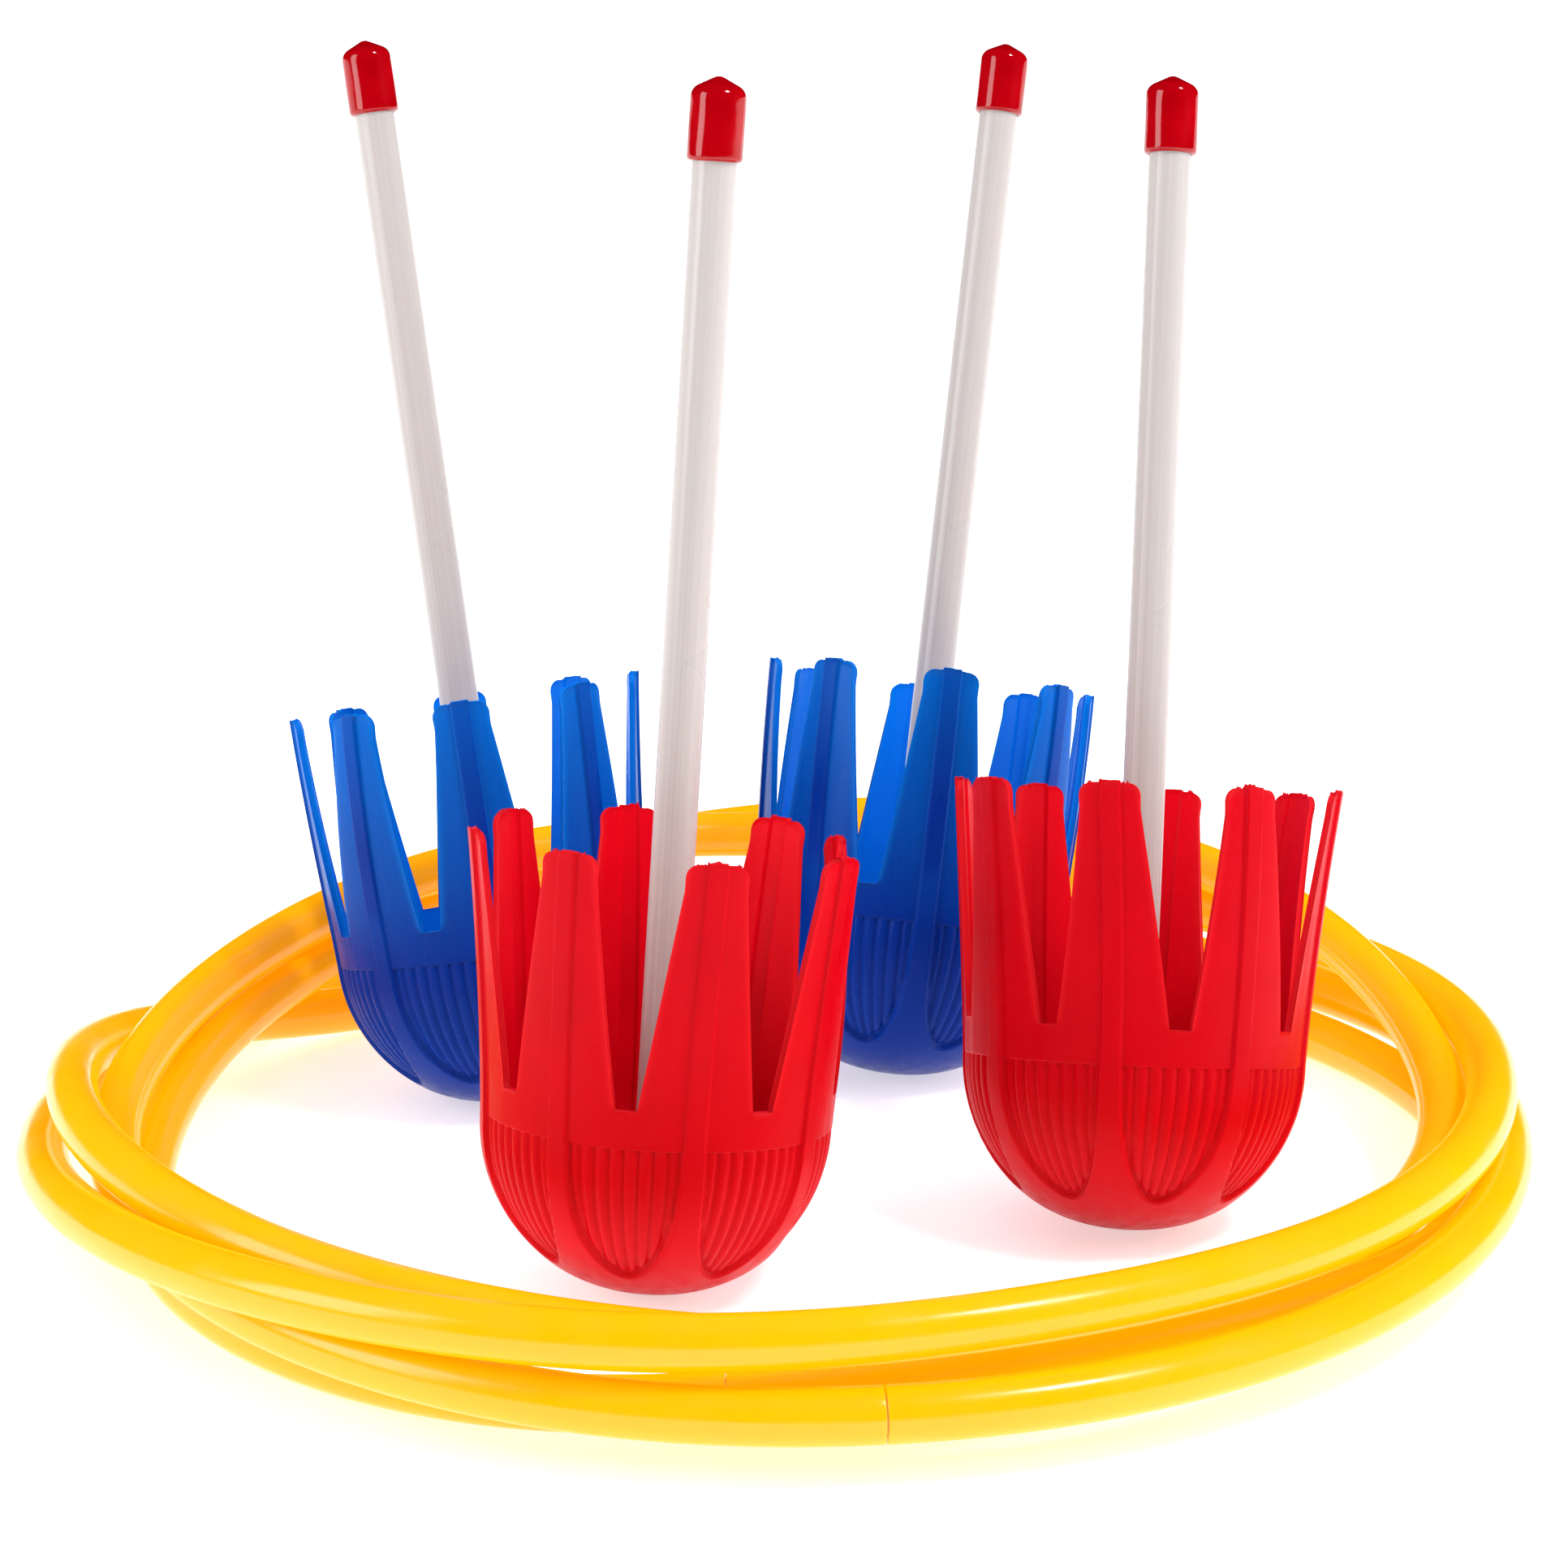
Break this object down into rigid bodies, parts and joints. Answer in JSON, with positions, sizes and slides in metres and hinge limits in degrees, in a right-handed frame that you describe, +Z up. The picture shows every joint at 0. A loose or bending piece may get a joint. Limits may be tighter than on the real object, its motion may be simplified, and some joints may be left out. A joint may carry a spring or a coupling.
{
  "type": "lawn dart set",
  "caption": "Lawn dart game: weighted round-nosed darts with finned crowns and capped shafts, standing inside two wound tube target rings.",
  "frame": {"origin": "on the ground under the middle of the whole set's bounding box", "axes": "+Z up, +Y away from the front of the set, +X to the right seen from the front"},
  "size_m": [0.4186, 0.4286, 0.3099],
  "materials": {
    "yellow_tube": "glossy, slightly translucent",
    "connector_plastic": "natural moulded",
    "red_shell": "satin moulded with fine grain",
    "blue_shell": "satin moulded",
    "ballast_iron": "as cast",
    "socket_plastic": "moulded",
    "white_shaft": "satin extruded tube",
    "red_vinyl": "glossy dipped vinyl"
  },
  "bodies": {
    "rings": {"ring_a_tube": "yellow_tube", "ring_a_connector": "connector_plastic", "ring_b_tube": "yellow_tube", "ring_b_connector": "connector_plastic"},
    "red_dart_front_head": {"red_dart_front_shell": "red_shell", "red_dart_front_ballast": "ballast_iron", "red_dart_front_socket": "socket_plastic"},
    "red_dart_front_stick": {"red_dart_front_shaft": "white_shaft"},
    "red_dart_front_tip": {"red_dart_front_cap": "red_vinyl"},
    "red_dart_right_head": {"red_dart_right_shell": "red_shell", "red_dart_right_ballast": "ballast_iron", "red_dart_right_socket": "socket_plastic"},
    "red_dart_right_stick": {"red_dart_right_shaft": "white_shaft"},
    "red_dart_right_tip": {"red_dart_right_cap": "red_vinyl"},
    "blue_dart_left_head": {"blue_dart_left_shell": "blue_shell", "blue_dart_left_ballast": "ballast_iron", "blue_dart_left_socket": "socket_plastic"},
    "blue_dart_left_stick": {"blue_dart_left_shaft": "white_shaft"},
    "blue_dart_left_tip": {"blue_dart_left_cap": "red_vinyl"},
    "blue_dart_right_head": {"blue_dart_right_shell": "blue_shell", "blue_dart_right_ballast": "ballast_iron", "blue_dart_right_socket": "socket_plastic"},
    "blue_dart_right_stick": {"blue_dart_right_shaft": "white_shaft"},
    "blue_dart_right_tip": {"blue_dart_right_cap": "red_vinyl"}
  },
  "joints": [
    {"name": "red_dart_front_lift", "type": "slide", "parent": "rings", "child": "red_dart_front_head", "axis": [0, 0, 1], "range_m": [0, 0.35]},
    {"name": "red_dart_front_shaft_pull", "type": "slide", "parent": "red_dart_front_head", "child": "red_dart_front_stick", "axis": [0.0622, 0.1392, 0.9883], "range_m": [0, 0.045]},
    {"name": "red_dart_front_cap_pull", "type": "slide", "parent": "red_dart_front_stick", "child": "red_dart_front_tip", "axis": [0.0622, 0.1392, 0.9883], "range_m": [0, 0.025]},
    {"name": "red_dart_right_lift", "type": "slide", "parent": "rings", "child": "red_dart_right_head", "axis": [0, 0, 1], "range_m": [0, 0.35]},
    {"name": "red_dart_right_shaft_pull", "type": "slide", "parent": "red_dart_right_head", "child": "red_dart_right_stick", "axis": [0.0419, 0.2756, 0.9603], "range_m": [0, 0.045]},
    {"name": "red_dart_right_cap_pull", "type": "slide", "parent": "red_dart_right_stick", "child": "red_dart_right_tip", "axis": [0.0419, 0.2756, 0.9603], "range_m": [0, 0.025]},
    {"name": "blue_dart_left_lift", "type": "slide", "parent": "rings", "child": "blue_dart_left_head", "axis": [0, 0, 1], "range_m": [0, 0.35]},
    {"name": "blue_dart_left_shaft_pull", "type": "slide", "parent": "blue_dart_left_head", "child": "blue_dart_left_stick", "axis": [-0.1381, 0.1994, 0.9701], "range_m": [0, 0.045]},
    {"name": "blue_dart_left_cap_pull", "type": "slide", "parent": "blue_dart_left_stick", "child": "blue_dart_left_tip", "axis": [-0.1381, 0.1994, 0.9701], "range_m": [0, 0.025]},
    {"name": "blue_dart_right_lift", "type": "slide", "parent": "rings", "child": "blue_dart_right_head", "axis": [0, 0, 1], "range_m": [0, 0.35]},
    {"name": "blue_dart_right_shaft_pull", "type": "slide", "parent": "blue_dart_right_head", "child": "blue_dart_right_stick", "axis": [0.1135, 0.284, 0.9521], "range_m": [0, 0.045]},
    {"name": "blue_dart_right_cap_pull", "type": "slide", "parent": "blue_dart_right_stick", "child": "blue_dart_right_tip", "axis": [0.1135, 0.284, 0.9521], "range_m": [0, 0.025]}
  ]
}
